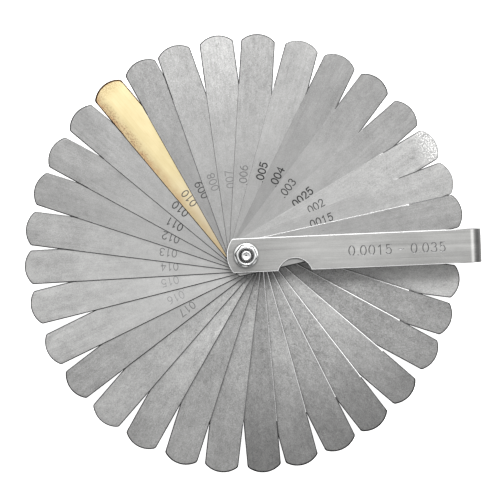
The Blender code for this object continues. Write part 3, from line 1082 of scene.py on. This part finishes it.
def nut_profile(angle):
    """Up the bore, out over the top, down the flats and over the flange."""
    bottom, top = NUT_LO.z, NUT_HI.z
    r, fall = hexagon(angle, NUT_TURN)
    foot = bottom + 0.86 * MM
    points = [(NUT_BORE, bottom)]
    points += [(NUT_BORE + out * MM, top - down * MM) for out, down in NUT_MOUTH]
    points += [(radius * MM, top - down * MM) for radius, down in NUT_CONE]
    points += [(FACE_R - 0.05 * MM, top), (FACE_R + 0.05 * MM, top - 0.02 * MM)]
    points += [
        (r - 0.07 * MM, top - fall),
        (r - 0.02 * MM, top - fall - 0.03 * MM),
        (r, top - fall - 0.09 * MM),
        (r, foot + 0.10 * MM),
        (r + 0.03 * MM, foot + 0.02 * MM),
    ]
    edge = FLANGE_R - FLANGE_ROUND
    gutter = min(r + 0.34 * MM, edge - 0.03 * MM)
    shelf = max(edge - 0.12 * MM, gutter + 0.01 * MM)
    points += [
        (gutter, foot - 0.02 * MM),
        (shelf, bottom + 0.70 * MM + (edge - shelf) * FLANGE_SLOPE),
    ]
    for degrees in (20, 45, 70, 90, 115, 140):
        lean = math.radians(degrees)
        points.append((
            edge + FLANGE_ROUND * math.sin(lean),
            bottom + 0.42 * MM + FLANGE_ROUND * math.cos(lean),
        ))
    points.append((FLANGE_R - 0.24 * MM, bottom))
    return points


def bolt_profile(angle):
    """From the dished end down the threads to the head."""
    bottom, top = BOLT_LO.z, BOLT_HI.z
    head = bottom + BOLT_HEAD
    r, fall = hexagon(angle, BOLT_TURN)
    points = [(radius * MM, top - down * MM) for radius, down in BOLT_END]
    root = THREAD_ROOT * MM
    z = top - 0.80 * MM
    for _ in range(THREAD_TURNS):
        points += [(root, z - 0.20 * MM), (root, z - 0.26 * MM)]
        points += [(BOLT_R, z - 0.46 * MM), (BOLT_R, z - 0.52 * MM)]
        z -= THREAD_PITCH * MM
    points += [
        (BOLT_R, head + 0.12 * MM),
        (BOLT_R + 0.06 * MM, head + 0.03 * MM),
        (BOLT_R + 0.15 * MM, head),
        (FACE_R - 0.10 * MM, head),
        (r - 0.10 * MM, head),
        (r - 0.03 * MM, head - 0.03 * MM),
        (r, head - 0.10 * MM),
        (r, bottom + fall + 0.09 * MM),
        (r - 0.02 * MM, bottom + fall + 0.03 * MM),
        (r - 0.07 * MM, bottom + fall),
        (FACE_R + 0.05 * MM, bottom + 0.02 * MM),
        (FACE_R - 0.05 * MM, bottom),
        (1.5 * MM, bottom),
        (0, bottom),
    ]
    return points


# slots 3 on the threads, 2 on the cone or the punch mark, 1 round the foot of the hexagon: each a darker copy of
# the plating, painted shade in these recesses
nut = polar(
    "hex_flange_nut", nut_profile, 240, NUT_TURN, [plating, crevice, cone, thread],
    {2: 3, 3: 3, 4: 3, 5: 2, 6: 2, 14: 1, 15: 1},
)
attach(nut, "nut")
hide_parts("flange_nut")
bolt = polar(
    "hex_bolt", bolt_profile, 120, BOLT_TURN, [plating, crevice, punch, thread],
    {0: 2, 1: 2, 2: 2, 9: 3, 10: 3, 11: 3}, capped=True,
)
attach(bolt, "holder")
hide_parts("pivot_bolt")


# ------------------------------------------------------------------ floor, light, camera

WHITE = (1.0, 1.0, 1.0)


def floor_material():
    """Pale, glowing like a light table when looked straight down on, and clear from below."""
    mat, net = material("pale_floor")
    diffuse = net.new("ShaderNodeBsdfDiffuse", Color=(0.80, 0.80, 0.80))
    path = net.new("ShaderNodeLightPath")
    geometry = net.new("ShaderNodeNewGeometry")
    facing = net.new("ShaderNodeVectorMath", operation="DOT_PRODUCT")
    net.set(facing, 0, geometry.outputs["Incoming"])
    net.set(facing, 1, geometry.outputs["Normal"])
    table = net.ramp(facing.outputs["Value"], span=(0.84, 0.96), to=(0.10, 0.94))
    unseen = 0.25  # glow for every ray but the camera's
    extra = net.mul(path.outputs["Is Camera Ray"], net.sub(table, unseen))
    glow = net.new("ShaderNodeEmission", Color=WHITE, Strength=net.add(unseen, extra))
    both = net.new("ShaderNodeAddShader")
    net.set(both, 0, diffuse.outputs[0])
    net.set(both, 1, glow.outputs[0])
    clear = net.new("ShaderNodeBsdfTransparent")
    pick = net.new("ShaderNodeMixShader", Fac=geometry.outputs["Backfacing"])
    net.set(pick, 1, both.outputs[0])
    net.set(pick, 2, clear.outputs[0])
    net.output(pick.outputs[0])
    return mat


def build_world():
    world = bpy.data.worlds.new("studio")
    scene.world = world
    world.use_nodes = True
    net = Nodes(world.node_tree)
    x, y, z = net.split(net.new("ShaderNodeTexCoord").outputs["Generated"])
    # walls bright towards +Y and slightly +X, dark on the opposite side
    toward = net.add(net.mul(x, 0.26), net.mul(y, 0.966))
    wall_light = net.ramp(toward, span=(-0.14, 0.50), to=(0.02, 2.2))
    # the room beyond, round the horizon
    lifted = net.ramp(z, span=(0.10, 0.34))
    room = net.ramp(z, span=(-0.30, -0.05), to=(0.90, 0.50))
    wall_light = net.add(net.mul(wall_light, lifted), net.mul(net.sub(1.0, lifted), room))
    # an even ceiling, dimmer straight overhead
    ceiling = net.ramp(z, span=(0.62, 0.82))
    overhead = net.ramp(z, span=(0.995, 0.955), to=(0.40, 0.85))
    strength = net.add(
        net.mul(ceiling, overhead), net.mul(net.sub(1.0, ceiling), wall_light)
    )
    light = net.new("ShaderNodeBackground", Color=WHITE, Strength=strength)
    # what the camera sees is plain
    plain = net.ramp(z, span=(0.0, 0.22), to=(0.80, 0.95))
    seen = net.new("ShaderNodeBackground", Color=WHITE, Strength=plain)
    path = net.new("ShaderNodeLightPath")
    choose = net.new("ShaderNodeMixShader", Fac=path.outputs["Is Camera Ray"])
    net.set(choose, 1, light.outputs[0])
    net.set(choose, 2, seen.outputs[0])
    net.output(choose.outputs[0], "ShaderNodeOutputWorld")


def softbox(name, location, target, size_x, size_y, power):
    data = bpy.data.lights.new(name, "AREA")
    data.shape = "RECTANGLE"
    data.size = size_x
    data.size_y = size_y
    data.energy = power
    obj = bpy.data.objects.new(name, data)
    obj.location = location
    obj.rotation_mode = "QUATERNION"
    aim = Vector(target) - Vector(location)
    obj.rotation_quaternion = aim.to_track_quat("-Z", "Y")
    scene.collection.objects.link(obj)


def build_camera():
    """Looks almost straight down, a little tilted."""
    data = bpy.data.cameras.new("camera")
    data.sensor_width = 36.0
    data.lens = 115.3
    data.clip_start = 0.01
    data.clip_end = 50.0
    camera = bpy.data.objects.new("camera", data)
    scene.collection.objects.link(camera)
    camera.location = (-0.01691, 0.01423, 0.6122)
    tilt = (
        Matrix.Rotation(math.radians(-2.465), 3, "Z")
        @ Matrix.Rotation(math.radians(-1.107), 3, "X")
        @ Matrix.Rotation(math.radians(-1.829), 3, "Y")
    )
    camera.rotation_euler = tilt.to_euler()
    scene.camera = camera


floor_shape = bmesh.new()
bmesh.ops.create_grid(floor_shape, x_segments=1, y_segments=1, size=6.0)
floor = make_object("floor", floor_shape, [floor_material()])
floor.location = (0.0, 0.0, -0.00003)

build_world()
softbox(
    "overhead", location=(0.02, 0.24, 0.90), target=(0.0, 0.10, 0.0),
    size_x=1.0, size_y=0.62, power=0.55,
)
softbox(
    "window", location=(0.08, 0.48, 0.78), target=(0.0, 0.0, 0.0),
    size_x=0.42, size_y=0.34, power=7.0,
)
build_camera()
scene.view_settings.view_transform = "Standard"
scene.view_settings.look = "None"

bpy.data.collections.remove(cutters)
